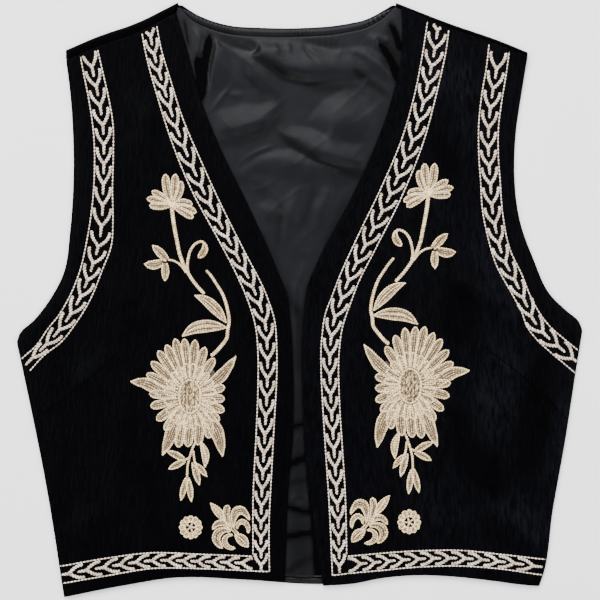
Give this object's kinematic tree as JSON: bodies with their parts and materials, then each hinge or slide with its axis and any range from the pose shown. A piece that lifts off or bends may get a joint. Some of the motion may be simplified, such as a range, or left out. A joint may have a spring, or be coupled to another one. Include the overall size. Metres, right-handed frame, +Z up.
{
  "type": "embroidered waistcoat",
  "caption": "Cropped sleeveless waistcoat, open in front and laid flat, with a deep V neck, a loose satin back lining and embroidered bands and flowers.",
  "frame": {"origin": "on the surface that the waistcoat lies on, under the middle of its outline", "axes": "+Z up out of the surface, +Y from the hem to the neck, +X to the wearer's left"},
  "size_m": [0.48, 0.5044, 0.0085],
  "materials": {
    "outer_cloth": "matt black crinkled cotton with a fine upright crinkle",
    "satin_lining": "soft sheen on black satin",
    "embroidery_thread": "cream chain stitch"
  },
  "bodies": {
    "root": {"back_panel": "outer_cloth", "back_lining": "satin_lining", "right_front": "outer_cloth", "left_front": "outer_cloth"}
  },
  "joints": []
}
